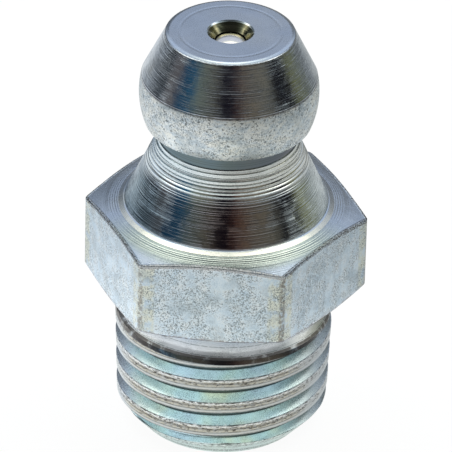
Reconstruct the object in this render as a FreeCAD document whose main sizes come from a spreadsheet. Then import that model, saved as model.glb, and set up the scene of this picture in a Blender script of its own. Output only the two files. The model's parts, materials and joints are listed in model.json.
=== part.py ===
# Straight grease nipple for an M8 x 1 taper thread, 9 mm across flats, in millimetres.
# The body is turned from one length of hexagon bar. A ball closes the inlet from inside,
# and a spring, held by four staked lugs at the tail, presses the ball on its seat.
# The nipple stands on its tail: the origin is the centre of the tail's end face,
# and +Z runs up the axis to the coupling head. Two flats of the hexagon face along Y.
import FreeCAD, Part
import Sketcher
import math
import os

# Driving dimensions: name, value, what it is.
DIMENSIONS = [
    ("across_flats", 9.0, "hexagon, flat to flat"),
    ("bar_corner_radius", 0.3, "rounding of the drawn bar's corners"),
    ("tail_length", 5.5, "from the end face up to the hexagon's seating plane"),
    ("end_face_radius", 3.04, "flat end of the tail, outside the lead-in chamfer"),
    ("lead_in_length", 0.95, "chamfer that starts the thread"),
    ("thread_radius", 3.98, "turned land and the thread's upper end, half the diameter"),
    ("thread_taper", 16.0, "length in which the thread's diameter grows by one"),
    ("relief_length", 0.735, "from the seating plane down to the turned land"),
    ("land_length", 0.28, "turned land above the first crest"),
    ("relief_width", 0.525, "cylindrical part of the relief"),
    ("relief_radius", 3.4, "relief under the hexagon"),
    ("seat_land", 0.7, "bevel under the hexagon, from its inner edge out to a flat"),
    ("seat_bevel_angle", 15.0, "bevel under the hexagon, from the horizontal"),
    ("hexagon_height", 3.5, "from the seating plane up to the foot of the collar"),
    ("crown_angle", 16.0, "bevel on top of the hexagon, from the horizontal"),
    ("crown_land", 0.756, "top of the hexagon, from the foot of the collar out to a flat"),
    ("collar_foot_fillet", 0.12, "tool radius at the foot of the collar"),
    ("collar_height", 2.69, "cone from its foot up to the neck"),
    ("neck_radius", 2.5, "groove that the coupler's jaws grip behind"),
    ("neck_height", 0.41, "straight part of the neck"),
    ("undercut_height", 0.3, "flank from the neck out to the ball-shaped zone"),
    ("head_radius", 3.25, "ball-shaped zone of the coupling head"),
    ("zone_below", 1.18, "ball-shaped zone below its centre"),
    ("zone_above", 0.64, "ball-shaped zone above its centre"),
    ("cone_height", 1.78, "cone from the ball-shaped zone up to the end face"),
    ("top_radius", 2.35, "cone where it meets the end face"),
    ("top_edge_break", 0.07, "broken edge of the end face"),
    ("bore_radius", 1.35, "bore for the ball and the spring"),
    ("ball_side_gap", 0.35, "between the ball and the bore, where grease passes"),
    ("ball_seat_gap", 0.02, "running gap at the ball's seat"),
    ("ball_seat_half_angle", 45.0, "ball seat, from the axis"),
    ("throat_land", 0.15, "ball seat between the throat and the line where the ball closes"),
    ("inlet_flare", 0.27, "how much wider the inlet's mouth is than its throat"),
    ("inlet_depth", 0.33, "countersink from the end face to the throat"),
    ("stake_count", 4.0, "punched stakes round the bore at the tail"),
    ("lug_reach", 0.42, "how far a staked lug stands into the bore"),
    ("lug_width", 0.8, "across a staked lug"),
    ("lug_root", 0.12, "how far a lug's root lies in the wall"),
    ("lug_thickness", 0.45, "along the axis"),
    ("punch_offset", 0.25, "from the bore to the punch mark"),
    ("punch_thickness", 0.34, "punch mark along the radius"),
    ("punch_width", 0.9, "punch mark across the radius"),
    ("punch_depth", 0.3, "punch mark into the end face"),
    ("wire_radius", 0.15, "spring wire"),
    ("spring_side_gap", 0.12, "between the spring and the bore"),
    ("spring_end_gap", 0.02, "between the spring and what it bears on"),
    ("open_turns", 8.0, "spring turns between the closed end turns"),
    ("wire_sides", 8.0, "flats that stand for the wire's round section"),
    ("turning_margin", 2.0, "how far the turning profiles reach past the bar"),
]
FULL_TURN = 360.0
CLOSED_TURN_STEPS = 8


class Size:
    """A number together with the formula that ties it to the sheet of dimensions."""

    def __init__(self, number, formula):
        self.number = number
        self.formula = formula

    def __add__(self, other):
        other = as_size(other)
        return Size(self.number + other.number, f"({self.formula} + {other.formula})")

    def __sub__(self, other):
        other = as_size(other)
        return Size(self.number - other.number, f"({self.formula} - {other.formula})")

    def __mul__(self, other):
        other = as_size(other)
        return Size(self.number * other.number, f"({self.formula} * {other.formula})")

    def __truediv__(self, other):
        other = as_size(other)
        return Size(self.number / other.number, f"({self.formula} / {other.formula})")

    def __neg__(self):
        return Size(-self.number, f"(0 - {self.formula})")


def as_size(value):
    """A plain number in the same form as a dimension of the sheet."""
    if isinstance(value, Size):
        return value
    return Size(float(value), repr(float(value)))


def root(size):
    """Square root of a size."""
    return Size(math.sqrt(size.number), f"sqrt({size.formula})")


def cosine(angle):
    """Cosine of an angle in degrees."""
    angle = as_size(angle)
    return Size(math.cos(math.radians(angle.number)), f"cos({angle.formula})")


def sine(angle):
    """Sine of an angle in degrees."""
    angle = as_size(angle)
    return Size(math.sin(math.radians(angle.number)), f"sin({angle.formula})")


def tangent(angle):
    """Tangent of an angle in degrees."""
    return sine(angle) / cosine(angle)


def make_sheet(doc):
    """Write every driving dimension in a cell of its own, with its name as the alias."""
    sheet = doc.addObject("Spreadsheet::Sheet", "sizes")
    for row, (name, value, meaning) in enumerate(DIMENSIONS, start=1):
        sheet.set(f"A{row}", meaning)
        sheet.set(f"B{row}", str(value))
        sheet.setAlias(f"B{row}", name)
    doc.recompute()
    return sheet


def bind(thing, field, size):
    """Tie one property of an object to the sheet."""
    thing.setExpression(field, size.formula)


def origin_feature(body, role):
    """The body's own plane or axis of that role."""
    for feature in body.Origin.OriginFeatures:
        if feature.Role == role:
            return feature
    raise RuntimeError(f"{body.Label} has no {role}")


def add_outline(body, name, plane, corners, arcs=None):
    """A closed sketch. Each corner is (name, x, y) and is dimensioned from the plane's origin.

    arcs holds, for the side that starts at a corner of that name, its centre and radius.
    """
    arcs = arcs or {}
    sketch = body.newObject("Sketcher::SketchObject", name)
    sketch.AttachmentSupport = [(origin_feature(body, plane), "")]
    sketch.MapMode = "FlatFace"
    spots = [FreeCAD.Vector(x.number, y.number, 0) for _, x, y in corners]
    ends = []
    for index, (corner, _, _) in enumerate(corners):
        start = spots[index]
        stop = spots[(index + 1) % len(spots)]
        if corner in arcs:
            ends.append(add_arc(sketch, start, stop, *arcs[corner]))
        else:
            side = sketch.addGeometry(Part.LineSegment(start, stop), False)
            ends.append((side, 1, 2))
    for index, (corner, x, y) in enumerate(corners):
        side, first, _ = ends[index]
        before, _, last = ends[index - 1]
        sketch.addConstraint(Sketcher.Constraint("Coincident", before, last, side, first))
        dimension(sketch, corner + "_x", "DistanceX", (-1, 1, side, first), x)
        dimension(sketch, corner + "_y", "DistanceY", (-1, 1, side, first), y)
    for corner, (_, _, radius) in arcs.items():
        side = ends[[entry[0] for entry in corners].index(corner)][0]
        dimension(sketch, corner + "_radius", "Radius", (side,), radius)
    return sketch


def add_arc(sketch, start, stop, centre_x, centre_y, radius):
    """The shorter arc between two corners: its number, and which of its ends come first."""
    centre = FreeCAD.Vector(centre_x.number, centre_y.number, 0)
    from_angle = math.atan2(start.y - centre.y, start.x - centre.x)
    to_angle = math.atan2(stop.y - centre.y, stop.x - centre.x)
    circle = Part.Circle(centre, FreeCAD.Vector(0, 0, 1), radius.number)
    swept = (to_angle - from_angle) % (2 * math.pi)
    if swept < math.pi:
        arc = Part.ArcOfCircle(circle, from_angle, from_angle + swept)
        return sketch.addGeometry(arc, False), 1, 2
    arc = Part.ArcOfCircle(circle, to_angle, to_angle + 2 * math.pi - swept)
    return sketch.addGeometry(arc, False), 2, 1


def dimension(sketch, name, kind, places, size):
    """Add one named dimension and tie it to the sheet."""
    number = sketch.addConstraint(Sketcher.Constraint(kind, *places, size.number))
    sketch.renameConstraint(number, name)
    sketch.setExpression("Constraints." + name, size.formula)


def add_groove(body, name, sketch):
    """Turn a profile away round the axis."""
    groove = body.newObject("PartDesign::Groove", name)
    groove.Profile = sketch
    groove.ReferenceAxis = (sketch, ["V_Axis"])
    groove.Angle = FULL_TURN
    return groove


def add_bar(body, length, across_flats, corner_radius):
    """The length of hexagon bar that everything else is cut from."""
    corner_distance = across_flats / root(as_size(3))
    corners = []
    for number in range(6):
        x = corner_distance * cosine(60 * number)
        y = corner_distance * sine(60 * number)
        corners.append((f"corner_{number + 1}", x, y))
    outline = add_outline(body, "BarOutline", "XY_Plane", corners)
    bar = body.newObject("PartDesign::Pad", "Bar")
    bar.Profile = outline
    bind(bar, "Length", length)
    body.Document.recompute()
    edges = []
    for number, edge in enumerate(bar.Shape.Edges, start=1):
        if edge.BoundBox.ZLength > edge.BoundBox.DiagonalLength / 2:
            edges.append(f"Edge{number}")
    rounding = body.newObject("PartDesign::Fillet", "BarCorners")
    rounding.Base = (bar, edges)
    bind(rounding, "Radius", corner_radius)


def add_foot_fillet(body, base, radius, foot_radius, foot_height):
    """The tool radius where the collar meets the top of the hexagon."""
    body.Document.recompute()
    for number, edge in enumerate(base.Shape.Edges, start=1):
        if not isinstance(edge.Curve, Part.Circle):
            continue
        same_radius = abs(edge.Curve.Radius - foot_radius.number) < 1e-4
        same_height = abs(edge.Curve.Center.z - foot_height.number) < 1e-4
        if same_radius and same_height:
            fillet = body.newObject("PartDesign::Fillet", "CollarFoot")
            fillet.Base = (base, [f"Edge{number}"])
            bind(fillet, "Radius", radius)
            return
    raise RuntimeError("the foot of the collar was not found")


def make_body(doc, size):
    """The nipple's body: bar, turned outside, bore with its ball seat, and staked tail."""
    body = doc.addObject("PartDesign::Body", "nipple_body")
    body.Label = "nipple_body"
    heights = axial_stations(size)
    top = heights["top"]
    add_bar(body, top, size["across_flats"], size["bar_corner_radius"])
    past_bar = size["across_flats"] / root(as_size(3)) + size["turning_margin"]
    head = add_head_turning(body, size, heights, past_bar)
    add_foot_fillet(body, head, size["collar_foot_fillet"], collar_foot_radius(size), heights["crown"])
    add_tail_turning(body, size, heights, past_bar)
    add_valve_bore(body, size, heights)
    add_stakes(body, size)
    return body


def axial_stations(size):
    """Heights above the tail's end face, each measured on from the one before."""
    stations = {"seat": size["tail_length"]}
    stations["crown"] = stations["seat"] + size["hexagon_height"]
    stations["collar_top"] = stations["crown"] + size["collar_height"]
    stations["neck_top"] = stations["collar_top"] + size["neck_height"]
    stations["zone_start"] = stations["neck_top"] + size["undercut_height"]
    stations["head_centre"] = stations["zone_start"] + size["zone_below"]
    stations["zone_end"] = stations["head_centre"] + size["zone_above"]
    stations["top"] = stations["zone_end"] + size["cone_height"]
    stations["throat"] = stations["top"] - size["inlet_depth"]
    return stations


def collar_foot_radius(size):
    """The collar's foot leaves the crown its land inside the flats."""
    return size["across_flats"] / 2 - size["crown_land"]


def add_head_turning(body, size, heights, past_bar):
    """Everything above the hexagon: crown bevel, collar, neck, ball-shaped zone and cone."""
    foot = collar_foot_radius(size)
    drop = (past_bar - foot) * tangent(size["crown_angle"])
    zone_low = root(size["head_radius"] * size["head_radius"] - size["zone_below"] * size["zone_below"])
    zone_high = root(size["head_radius"] * size["head_radius"] - size["zone_above"] * size["zone_above"])
    break_drop = size["top_edge_break"]
    above = heights["top"] + size["turning_margin"]
    corners = [
        ("bevel_outside", past_bar, heights["crown"] - drop),
        ("collar_foot", foot, heights["crown"]),
        ("collar_top", size["neck_radius"], heights["collar_top"]),
        ("neck_top", size["neck_radius"], heights["neck_top"]),
        ("zone_start", zone_low, heights["zone_start"]),
        ("zone_end", zone_high, heights["zone_end"]),
        ("cone_end", size["top_radius"], heights["top"] - break_drop),
        ("face_edge", size["top_radius"] - break_drop, heights["top"]),
        ("above_face", size["top_radius"] - break_drop, above),
        ("above_outside", past_bar, above),
    ]
    arcs = {"zone_start": (as_size(0), heights["head_centre"], size["head_radius"])}
    sketch = add_outline(body, "HeadProfile", "XZ_Plane", corners, arcs)
    return add_groove(body, "HeadTurning", sketch)


def add_tail_turning(body, size, heights, past_bar):
    """Everything below the hexagon: seat bevel, relief, land, tapered thread blank and lead-in."""
    seat_edge = size["across_flats"] / 2 - size["seat_land"]
    rise = (past_bar - seat_edge) * tangent(size["seat_bevel_angle"])
    relief_end = heights["seat"] - size["relief_width"]
    land_top = heights["seat"] - size["relief_length"]
    thread_start = land_top - size["land_length"]
    crest_drop = (thread_start - size["lead_in_length"]) / (size["thread_taper"] * 2)
    below = -size["turning_margin"]
    corners = [
        ("bevel_outside", past_bar, heights["seat"] + rise),
        ("seat_edge", seat_edge, heights["seat"]),
        ("relief_top", size["relief_radius"], heights["seat"]),
        ("relief_end", size["relief_radius"], relief_end),
        ("land_top", size["thread_radius"], land_top),
        ("thread_start", size["thread_radius"], thread_start),
        ("lead_in", size["thread_radius"] - crest_drop, size["lead_in_length"]),
        ("end_face", size["end_face_radius"], as_size(0)),
        ("below_face", size["end_face_radius"], below),
        ("below_outside", past_bar, below),
    ]
    sketch = add_outline(body, "TailProfile", "XZ_Plane", corners)
    add_groove(body, "TailTurning", sketch)


def ball_radius(size):
    """The ball leaves the grease its side gap in the bore."""
    return size["bore_radius"] - size["ball_side_gap"]


def throat_radius(size):
    """The throat lies inside the line on which the ball closes the seat."""
    return ball_radius(size) * cosine(size["ball_seat_half_angle"]) - size["throat_land"]


def ball_height(size, heights):
    """The ball's centre, a running gap below the place where it would close the seat."""
    apex = heights["throat"] + throat_radius(size) / tangent(size["ball_seat_half_angle"])
    reach = (ball_radius(size) + size["ball_seat_gap"]) / sine(size["ball_seat_half_angle"])
    return apex - reach


def add_valve_bore(body, size, heights):
    """The bore from the tail, the conical ball seat and the countersunk inlet."""
    throat = throat_radius(size)
    seat_drop = (size["bore_radius"] - throat) / tangent(size["ball_seat_half_angle"])
    corners = [
        ("axis_low", as_size(0), -size["turning_margin"]),
        ("mouth", size["bore_radius"], -size["turning_margin"]),
        ("seat_foot", size["bore_radius"], heights["throat"] - seat_drop),
        ("throat", throat, heights["throat"]),
        ("inlet_mouth", throat + size["inlet_flare"], heights["top"]),
        ("inlet_above", throat + size["inlet_flare"], heights["top"] + size["turning_margin"]),
        ("axis_high", as_size(0), heights["top"] + size["turning_margin"]),
    ]
    sketch = add_outline(body, "BoreProfile", "XZ_Plane", corners)
    add_groove(body, "ValveBore", sketch)


def add_stakes(body, size):
    """Punch marks in the end face, each with the lug that it pushes into the bore."""
    inner = size["bore_radius"] - size["lug_reach"]
    outer = size["bore_radius"] + size["lug_root"]
    half = size["lug_width"] / 2
    corners = [
        ("root_right", outer, -half),
        ("root_left", outer, half),
        ("nose_left", inner + half, half),
        ("nose", inner, as_size(0)),
        ("nose_right", inner + half, -half),
    ]
    nose = (inner + half, as_size(0), half)
    sketch = add_outline(body, "LugOutline", "XY_Plane", corners, {"nose_left": nose, "nose": nose})
    lug = body.newObject("PartDesign::Pad", "Lug")
    lug.Profile = sketch
    bind(lug, "Length", size["lug_thickness"])
    near = size["bore_radius"] + size["punch_offset"]
    far = near + size["punch_thickness"]
    half = size["punch_width"] / 2
    corners = [
        ("near_right", near, -half),
        ("far_right", far, -half),
        ("far_left", far, half),
        ("near_left", near, half),
    ]
    sketch = add_outline(body, "PunchOutline", "XY_Plane", corners)
    punch = body.newObject("PartDesign::Pocket", "PunchMark")
    punch.Profile = sketch
    punch.Reversed = True
    bind(punch, "Length", size["punch_depth"])
    body.Document.recompute()
    pattern = body.newObject("PartDesign::PolarPattern", "Stakes")
    pattern.Originals = [lug, punch]
    pattern.Axis = (origin_feature(body, "Z_Axis"), [""])
    pattern.Angle = FULL_TURN
    bind(pattern, "Occurrences", size["stake_count"])
    body.Tip = pattern


def make_ball(doc, size):
    """The steel ball under the inlet."""
    ball = doc.addObject("Part::Sphere", "check_ball")
    ball.Label = "check_ball"
    bind(ball, "Radius", ball_radius(size))
    bind(ball, "Placement.Base.z", ball_height(size, axial_stations(size)))
    return ball


def make_spring(doc, size):
    """A compression spring with one closed turn at each end, from the lugs up to the ball."""
    wire = size["wire_radius"].number
    gap = size["spring_end_gap"].number
    coil = size["bore_radius"].number - size["spring_side_gap"].number - wire
    low = size["lug_thickness"].number + gap + wire
    reach = ball_radius(size).number + wire + gap
    high = ball_height(size, axial_stations(size)).number - math.sqrt(reach ** 2 - coil ** 2)
    closed_rise = 2 * wire + gap
    open_turns = size["open_turns"].number
    path = coil_path(coil, low, high, closed_rise, open_turns)
    section = wire_section(FreeCAD.Vector(coil, 0, low), wire, int(size["wire_sides"].number))
    solid = path.makePipeShell([section], True, True)
    spring = doc.addObject("Part::Feature", "valve_spring")
    spring.Label = "valve_spring"
    spring.Shape = solid
    return spring


def wire_section(centre, wire, sides):
    """The wire's section at the coil's start, an even polygon with the area of the round wire."""
    step = 2 * math.pi / sides
    corner = wire * math.sqrt(step / math.sin(step))
    ring = []
    for number in range(sides + 1):
        angle = step * (number + 0.5)
        ring.append(centre + FreeCAD.Vector(corner * math.cos(angle), 0, corner * math.sin(angle)))
    return Part.makePolygon(ring)


def coil_path(coil, low, high, closed_rise, open_turns):
    """The wire's centre line, drawn as height over angle and wrapped round a cylinder."""
    last_angle = 2 * math.pi * (open_turns + 2)
    rise = high - low
    points = []
    for step in range(CLOSED_TURN_STEPS):
        share = step / CLOSED_TURN_STEPS
        points.append((share * 2 * math.pi, share * closed_rise))
    open_steps = int(open_turns)
    for step in range(open_steps + 1):
        share = step / open_steps
        angle = 2 * math.pi * (1 + share * open_turns)
        points.append((angle, closed_rise + share * (rise - 2 * closed_rise)))
    for step in range(1, CLOSED_TURN_STEPS + 1):
        share = step / CLOSED_TURN_STEPS
        points.append((last_angle - (1 - share) * 2 * math.pi, rise - (1 - share) * closed_rise))
    line = Part.Geom2d.BSplineCurve2d()
    line.interpolate([FreeCAD.Base.Vector2d(angle, height) for angle, height in points])
    cylinder = Part.Cylinder()
    cylinder.Radius = coil
    cylinder.Center = FreeCAD.Vector(0, 0, low)
    return Part.Wire(line.toShape(cylinder))


def check(doc, parts):
    """Stop on any failed object, any feature that changed nothing and any unsound shape."""
    for thing in doc.Objects:
        if {"Invalid", "Error"} & set(thing.State):
            raise RuntimeError(f"{thing.Name} failed: {thing.State}")
    for part in parts:
        if part.Shape.isNull() or not part.Shape.isValid() or len(part.Shape.Solids) != 1:
            raise RuntimeError(f"{part.Label} is not one sound solid")
    for thing in doc.Objects:
        if thing.TypeId in ("PartDesign::Groove", "PartDesign::Pocket", "PartDesign::Pad"):
            before = thing.BaseFeature.Shape.Volume if thing.BaseFeature else 0.0
            if abs(thing.Shape.Volume - before) < 1e-6:
                raise RuntimeError(f"{thing.Name} changed nothing")


def main():
    doc = FreeCAD.newDocument("grease_nipple")
    sheet = make_sheet(doc)
    size = {name: Size(float(sheet.get(name)), "sizes." + name) for name, _, _ in DIMENSIONS}
    parts = [make_body(doc, size), make_ball(doc, size), make_spring(doc, size)]
    doc.recompute()
    check(doc, parts)
    os.makedirs("parts", exist_ok=True)
    for part in parts:
        part.Shape.exportStep(f"parts/{part.Label}.step")
        print(part.Label, "volume", round(part.Shape.Volume, 3), "mm3")


main()
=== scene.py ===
# %% [markdown]
# A straight grease nipple is turned from hexagon bar, threaded at its tail and zinc plated.
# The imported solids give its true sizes, so they are loaded first and nothing is fitted later.
# What Blender adds is what the solids leave out: the thread, the tool marks and the plating.

# %% Load the frame
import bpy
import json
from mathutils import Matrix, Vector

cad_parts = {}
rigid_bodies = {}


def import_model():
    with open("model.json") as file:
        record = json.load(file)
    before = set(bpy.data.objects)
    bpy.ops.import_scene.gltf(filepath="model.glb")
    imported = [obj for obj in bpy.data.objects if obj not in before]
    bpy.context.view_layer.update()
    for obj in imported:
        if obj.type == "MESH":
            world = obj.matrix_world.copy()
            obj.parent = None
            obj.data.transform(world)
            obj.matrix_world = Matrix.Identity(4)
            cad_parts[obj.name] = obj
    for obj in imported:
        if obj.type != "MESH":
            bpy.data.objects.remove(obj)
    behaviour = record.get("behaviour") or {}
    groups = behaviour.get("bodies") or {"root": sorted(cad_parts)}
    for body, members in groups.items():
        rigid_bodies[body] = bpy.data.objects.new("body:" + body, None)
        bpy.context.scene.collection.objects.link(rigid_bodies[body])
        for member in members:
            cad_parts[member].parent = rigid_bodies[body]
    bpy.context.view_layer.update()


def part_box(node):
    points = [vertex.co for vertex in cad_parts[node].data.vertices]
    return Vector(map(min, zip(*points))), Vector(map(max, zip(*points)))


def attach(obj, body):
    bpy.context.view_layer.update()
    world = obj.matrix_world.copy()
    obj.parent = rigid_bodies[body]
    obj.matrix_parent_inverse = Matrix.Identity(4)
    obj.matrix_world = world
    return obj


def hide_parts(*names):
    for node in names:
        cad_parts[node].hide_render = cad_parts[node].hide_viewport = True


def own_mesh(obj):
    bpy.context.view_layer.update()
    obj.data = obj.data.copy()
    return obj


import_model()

# %% [markdown]
# The nipple is only 16 mm tall and some of its edges are 0.03 mm wide. Blender's merge and
# bevel tolerances are made for larger things, so every piece is modelled with one unit to the
# millimetre and scaled down once it is finished.

# %% Units and the frame's own heights
import json
import math
import random
import bmesh
import bpy
from mathutils import Matrix, Vector, noise

MM = 0.001
BODY_LOW, BODY_HIGH = (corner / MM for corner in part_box("nipple_body"))
BALL_LOW, BALL_HIGH = (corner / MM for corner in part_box("check_ball"))
SPRING_LOW, SPRING_HIGH = (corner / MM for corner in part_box("valve_spring"))
TOP = BODY_HIGH.z
SEAT = 5.5
print("top", round(TOP, 3), "ball", round(BALL_LOW.z, 3), "to", round(BALL_HIGH.z, 3))

# %% [markdown]
# The camera stands where the photographer's did: far off with a long lens, 31 degrees above
# the floor, a little to one side of the front flat, and rolled by a degree and a half. It is
# built from three directions, so that no angle has to be guessed by eye.

# %% The camera
CAMERA_HEIGHT = math.radians(31.3925)
CAMERA_ROLL = math.radians(1.4498)
CAMERA_TURN = math.radians(5.9)
CAMERA_DISTANCE = 258.3883
CAMERA_TARGET = Vector((0.0102, 0.0, 7.8357))
SENSOR_WIDTH = 36.0
LENS = 7098.5296 / 452 * SENSOR_WIDTH
FRONT = Vector((math.sin(CAMERA_TURN), -math.cos(CAMERA_TURN), 0))
SIDE = Vector((math.cos(CAMERA_TURN), math.sin(CAMERA_TURN), 0))
FRONT_ANGLE = math.atan2(FRONT.y, FRONT.x)


def add_camera():
    """A camera that looks at the middle of the nipple from the photograph's place."""
    sine, cosine = math.sin(CAMERA_HEIGHT), math.cos(CAMERA_HEIGHT)
    back = FRONT * cosine + Vector((0, 0, sine))
    up = -FRONT * sine + Vector((0, 0, cosine))
    across = SIDE * math.cos(CAMERA_ROLL) + up * math.sin(CAMERA_ROLL)
    upright = up * math.cos(CAMERA_ROLL) - SIDE * math.sin(CAMERA_ROLL)
    turn = Matrix((across, upright, back)).transposed().to_4x4()
    target = SIDE * CAMERA_TARGET.x + Vector((0, 0, CAMERA_TARGET.z))
    data = bpy.data.cameras.new("camera")
    data.sensor_width = SENSOR_WIDTH
    data.lens = LENS
    data.clip_start = 0.01
    camera = bpy.data.objects.new("camera", data)
    camera.matrix_world = Matrix.Translation((target + back * CAMERA_DISTANCE) * MM) @ turn
    bpy.context.scene.collection.objects.link(camera)
    bpy.context.scene.camera = camera
    return camera


print("camera at", [round(value, 4) for value in add_camera().matrix_world.translation])

# %% [markdown]
# Shader nodes do plain arithmetic, but each sum needs a node and two links. This small class
# wraps a socket, so that a formula can be written as one and adds its own nodes.

# %% Shader maths


class Socket:
    """One output of a node tree, or a way to add nodes to that tree."""

    def __init__(self, tree, output=None):
        self.tree = tree
        self.output = output

    def make(self, kind, settings=None, inputs=None, output=0):
        """Add a node. Its settings come first, then the values or links of its sockets."""
        node = self.tree.nodes.new(kind)
        for name, value in (settings or {}).items():
            if name == "stops":
                set_ramp(node.color_ramp, value)
            else:
                setattr(node, name, value)
        for name, value in (inputs or {}).items():
            if isinstance(value, Socket):
                self.tree.links.new(value.output, node.inputs[name])
            else:
                node.inputs[name].default_value = value
        return Socket(self.tree, node.outputs[output])

    def maths(self, operation, *values):
        """One Math node."""
        return self.make("ShaderNodeMath", {"operation": operation}, dict(enumerate(values)))

    def __add__(self, other):
        return self.maths("ADD", self, other)

    def __sub__(self, other):
        return self.maths("SUBTRACT", self, other)

    def __rsub__(self, other):
        return self.maths("SUBTRACT", other, self)

    def __mul__(self, other):
        return self.maths("MULTIPLY", self, other)

    def __abs__(self):
        return self.maths("ABSOLUTE", self)

    def along(self, second, third):
        """A vector from three numbers."""
        return self.make("ShaderNodeCombineXYZ", None, {0: self, 1: second, 2: third})

    def rise(self, low, high):
        """0 below low, 1 above high and smooth between."""
        settings = {"interpolation_type": "SMOOTHSTEP"}
        return self.make("ShaderNodeMapRange", settings, {"Value": self, "From Min": low, "From Max": high})

    def band(self, low, high, soft):
        """1 between low and high, with soft ends."""
        return self.rise(low - soft, low + soft) * (1 - self.rise(high - soft, high + soft))

    def mix(self, other, share):
        """This colour, with a share of another one over it."""
        settings = {"data_type": "RGBA"}
        return self.make("ShaderNodeMix", settings, {0: share, 6: self, 7: other}, 2)

    def noise(self, scale, detail=2.0, rough=0.5):
        """Noise over a vector."""
        inputs = {"Vector": self, "Scale": scale, "Detail": detail, "Roughness": rough}
        return self.make("ShaderNodeTexNoise", None, inputs)

    def lines(self, scale, detail=2.0):
        """Noise along one number, which draws lines across it."""
        inputs = {"W": self, "Scale": scale, "Detail": detail}
        return self.make("ShaderNodeTexNoise", {"noise_dimensions": "1D"}, inputs)

    def ramp(self, stops):
        """A colour for each value: stops are (place, red, green, blue)."""
        return self.make("ShaderNodeValToRGB", {"stops": stops}, {"Fac": self})


def set_ramp(ramp, stops):
    """Give a colour ramp its stops."""
    while len(ramp.elements) < len(stops):
        ramp.elements.new(0.5)
    for element, (place, red, green, blue) in zip(ramp.elements, stops):
        element.position = place
        element.color = (red, green, blue, 1)


def split(tree, vector):
    """The three parts of a vector."""
    node = tree.nodes.new("ShaderNodeSeparateXYZ")
    tree.links.new(vector.output, node.inputs[0])
    return [Socket(tree, output) for output in node.outputs]


print("shader maths ready")

# %% [markdown]
# Bright metal shows the room more than itself. The photograph's room can be read off the
# metal: a pale sheet below that is lit more from the left and ends some way off, a dark ring
# of walls with a few coloured strips, a soft light overhead, and a calm grey-blue ceiling.
# The world paints that room.

# %% The room
FLOOR_LIGHT = [(0.0, 0.92, 0.96, 1.0), (0.35, 0.84, 0.87, 0.90), (0.5, 0.65, 0.67, 0.65),
               (0.65, 0.55, 0.57, 0.58), (1.0, 0.50, 0.53, 0.54)]
FLOOR_SPAN = 0.030
NEAR_LIGHT = 0.65
NEAR_REACH = (0.0125, 0.0142)
FAR_FADE = 0.9
FAR_REACH = (0.040, 0.110)
FLOOR_SEEN = (1.08, 1.08, 1.08, 1)
SEEN_GLOW = 0.86
MIRRORED_GLOW = 0.88
WALL_FOOT = (-0.06, 0.05)
WALL_TOP = math.radians(27)
WALL_STRIPS = [
    (-180, 0.16, 0.17, 0.18), (-126, 0.10, 0.13, 0.16), (-119, 0.010, 0.018, 0.026),
    (-97, 0.008, 0.014, 0.020), (-92, 0.12, 0.11, 0.11), (-78, 0.13, 0.11, 0.105),
    (-72, 0.010, 0.05, 0.10), (-52, 0.018, 0.10, 0.18), (-47, 0.18, 0.21, 0.17),
    (-19, 0.16, 0.145, 0.11), (-13, 0.006, 0.004, 0.010), (9, 0.003, 0.003, 0.007),
    (13, 0.10, 0.035, 0.028), (19, 0.18, 0.145, 0.11), (58, 0.18, 0.17, 0.135),
    (66, 0.004, 0.004, 0.008), (92, 0.006, 0.006, 0.010), (98, 0.18, 0.18, 0.07),
    (122, 0.16, 0.17, 0.10), (130, 0.20, 0.21, 0.21), (180, 0.18, 0.19, 0.20),
]
CEILING = [
    (20, 0.03, 0.03, 0.04), (60, 0.04, 0.045, 0.05), (73, 0.22, 0.27, 0.28),
    (82, 0.84, 0.94, 0.96), (89, 0.86, 0.96, 0.96), (92, 2.1, 2.1, 2.0),
    (111, 2.1, 2.1, 2.0), (117, 0.86, 0.94, 0.86), (126, 0.56, 0.63, 0.74),
    (150, 0.52, 0.59, 0.70), (180, 0.42, 0.46, 0.52),
]


def add_room():
    """The world: white to the camera, and the room to everything else."""
    world = bpy.data.worlds.new("room")
    world.use_nodes = True
    tree = world.node_tree
    tree.nodes.clear()
    start = Socket(tree)
    x, y, z = split(tree, start.make("ShaderNodeTexCoord", output="Generated"))
    to_front = x * FRONT.x + y * FRONT.y
    to_side = x * SIDE.x + y * SIDE.y
    around = to_side.maths("ARCTAN2", to_side, to_front) * (0.5 / math.pi) + 0.5
    height = z.maths("ARCSINE", z)
    over = z.maths("ARCTAN2", z, to_front) * (1 / math.pi)
    strips = around.ramp([(place / 360 + 0.5, r, g, b) for place, r, g, b in WALL_STRIPS])
    ceiling = over.ramp([(place / 180, r, g, b) for place, r, g, b in CEILING])
    walls = strips.mix(ceiling, height.rise(WALL_TOP * 0.8, WALL_TOP * 1.25))
    floor = (to_side * 0.5 + 0.5).ramp(FLOOR_LIGHT)
    room = walls.mix(floor, 1 - height.rise(*WALL_FOOT))
    seen = start.make("ShaderNodeLightPath", output="Is Camera Ray")
    room = room.mix((1, 1, 1, 1), seen)
    light = start.make("ShaderNodeBackground", None, {"Color": room, "Strength": 1.0})
    out = tree.nodes.new("ShaderNodeOutputWorld")
    tree.links.new(light.output, out.inputs["Surface"])
    bpy.context.scene.world = world
    bpy.context.scene.view_settings.view_transform = "Standard"


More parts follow.
